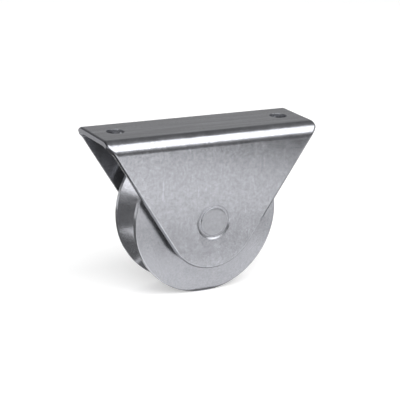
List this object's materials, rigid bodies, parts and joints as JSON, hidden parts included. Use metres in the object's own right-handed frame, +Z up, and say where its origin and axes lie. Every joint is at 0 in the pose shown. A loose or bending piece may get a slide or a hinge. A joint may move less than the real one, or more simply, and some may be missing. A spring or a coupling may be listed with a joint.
{
  "type": "v-groove wheel with bracket",
  "caption": "Grooved steel wheel on a ball bearing in a folded channel bracket, for a sliding gate running on an angle-iron rail.",
  "frame": {"origin": "middle of the flat mounting face on top, between the two fixing holes", "axes": "+X along the bracket and the rail, +Y along the axle to the rear side, +Z up, out of the mounting face"},
  "size_m": [0.118, 0.04, 0.086],
  "materials": {
    "bracket_steel": "zinc-plated pressed sheet, satin",
    "wheel_steel": "zinc-plated, finely turned",
    "axle_steel": "zinc-plated, riveted ends",
    "spacer_steel": "zinc-plated tube, turned ends",
    "bearing_steel": "ground and polished bearing steel",
    "cage_steel": "pressed steel strip",
    "shield_steel": "pressed steel shield, satin",
    "spring_steel": "phosphated spring steel, dark"
  },
  "bodies": {
    "root": {"bracket": "bracket_steel", "axle": "axle_steel", "spacer_front": "spacer_steel", "spacer_rear": "spacer_steel", "bearing_inner_race": "bearing_steel"},
    "wheel": {"wheel": "wheel_steel", "bearing_outer_race": "bearing_steel", "shield_front": "shield_steel", "shield_rear": "shield_steel", "retaining_ring": "spring_steel"},
    "cage": {"cage_front": "cage_steel", "cage_rear": "cage_steel", "cage_rivets": "cage_steel"},
    "ball_1": {"ball_1": "bearing_steel"},
    "ball_2": {"ball_2": "bearing_steel"},
    "ball_3": {"ball_3": "bearing_steel"},
    "ball_4": {"ball_4": "bearing_steel"},
    "ball_5": {"ball_5": "bearing_steel"},
    "ball_6": {"ball_6": "bearing_steel"},
    "ball_7": {"ball_7": "bearing_steel"},
    "ball_8": {"ball_8": "bearing_steel"}
  },
  "joints": [
    {"name": "wheel_spin", "type": "hinge", "parent": "root", "child": "wheel", "pos_m": [0, 0, -0.046], "axis": [0, 1, 0], "continuous": true},
    {"name": "cage_orbit", "type": "hinge", "parent": "root", "child": "cage", "pos_m": [0, 0, -0.046], "axis": [0, 1, 0], "continuous": true},
    {"name": "ball_1_spin", "type": "hinge", "parent": "cage", "child": "ball_1", "pos_m": [0.0125, 0, -0.046], "axis": [0, 1, 0], "continuous": true},
    {"name": "ball_2_spin", "type": "hinge", "parent": "cage", "child": "ball_2", "pos_m": [0.00884, 0, -0.03716], "axis": [0, 1, 0], "continuous": true},
    {"name": "ball_3_spin", "type": "hinge", "parent": "cage", "child": "ball_3", "pos_m": [0, 0, -0.0335], "axis": [0, 1, 0], "continuous": true},
    {"name": "ball_4_spin", "type": "hinge", "parent": "cage", "child": "ball_4", "pos_m": [-0.00884, 0, -0.03716], "axis": [0, 1, 0], "continuous": true},
    {"name": "ball_5_spin", "type": "hinge", "parent": "cage", "child": "ball_5", "pos_m": [-0.0125, 0, -0.046], "axis": [0, 1, 0], "continuous": true},
    {"name": "ball_6_spin", "type": "hinge", "parent": "cage", "child": "ball_6", "pos_m": [-0.00884, 0, -0.05484], "axis": [0, 1, 0], "continuous": true},
    {"name": "ball_7_spin", "type": "hinge", "parent": "cage", "child": "ball_7", "pos_m": [0, 0, -0.0585], "axis": [0, 1, 0], "continuous": true},
    {"name": "ball_8_spin", "type": "hinge", "parent": "cage", "child": "ball_8", "pos_m": [0.00884, 0, -0.05484], "axis": [0, 1, 0], "continuous": true}
  ],
  "couplings": [
    {"joint": "cage_orbit", "follows": "wheel_spin", "ratio": 0.61906},
    {"joint": "ball_1_spin", "follows": "wheel_spin", "ratio": 1.9807},
    {"joint": "ball_2_spin", "follows": "wheel_spin", "ratio": 1.9807},
    {"joint": "ball_3_spin", "follows": "wheel_spin", "ratio": 1.9807},
    {"joint": "ball_4_spin", "follows": "wheel_spin", "ratio": 1.9807},
    {"joint": "ball_5_spin", "follows": "wheel_spin", "ratio": 1.9807},
    {"joint": "ball_6_spin", "follows": "wheel_spin", "ratio": 1.9807},
    {"joint": "ball_7_spin", "follows": "wheel_spin", "ratio": 1.9807},
    {"joint": "ball_8_spin", "follows": "wheel_spin", "ratio": 1.9807}
  ]
}
